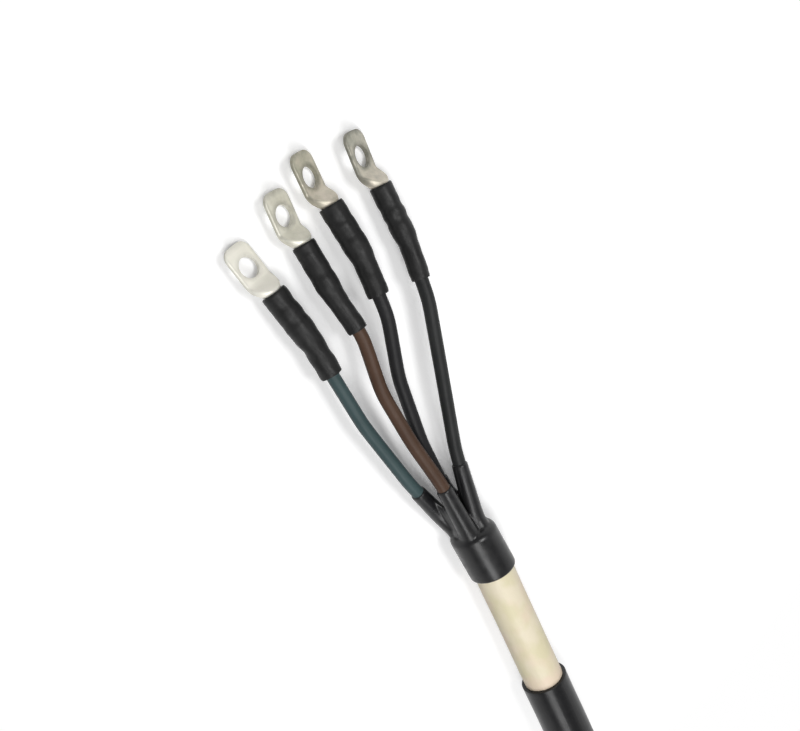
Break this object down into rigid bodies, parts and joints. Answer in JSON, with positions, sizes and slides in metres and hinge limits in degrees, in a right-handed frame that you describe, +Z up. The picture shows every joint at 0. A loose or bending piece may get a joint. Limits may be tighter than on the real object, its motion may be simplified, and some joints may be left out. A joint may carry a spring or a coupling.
{
  "type": "cable termination",
  "caption": "Low-voltage cable end cut back in steps, with a breakout boot over the crotch and insulated cores fanning out to bolt-down lugs with shrunk sleeves.",
  "frame": {"origin": "on the cable's axis in the plane of its cut end", "axes": "+X along the cable from the cut end towards the lugs; +Y across the fan, on the side of the blue-green core; +Z up as it lies"},
  "size_m": [0.4314, 0.1061, 0.0312],
  "materials": {
    "outer_sheath": "black PVC, slightly glossy",
    "inner_sheath": "cream PVC, matt and faintly mottled",
    "centre_filler": "pale plastic cord",
    "boot": "black polyolefin, soft gloss",
    "teal_core": "dark blue-green PVC",
    "brown_core": "brown PVC",
    "black_core": "black PVC",
    "grey_core": "dark grey PVC",
    "copper": "bare stranded copper",
    "tinned_lug": "tinned copper, satin",
    "sleeve": "black heat-shrink sleeve, semi-matt"
  },
  "bodies": {
    "root": {"outer_sheath": "outer_sheath", "inner_sheath": "inner_sheath", "centre_filler": "centre_filler", "breakout_boot": "boot", "teal_insulation": "teal_core", "teal_conductor": "copper", "teal_lug": "tinned_lug", "teal_lug_sleeve": "sleeve", "brown_insulation": "brown_core", "brown_conductor": "copper", "brown_lug": "tinned_lug", "brown_lug_sleeve": "sleeve", "black_insulation": "black_core", "black_conductor": "copper", "black_lug": "tinned_lug", "black_lug_sleeve": "sleeve", "grey_insulation": "grey_core", "grey_conductor": "copper", "grey_lug": "tinned_lug", "grey_lug_sleeve": "sleeve"}
  },
  "joints": []
}
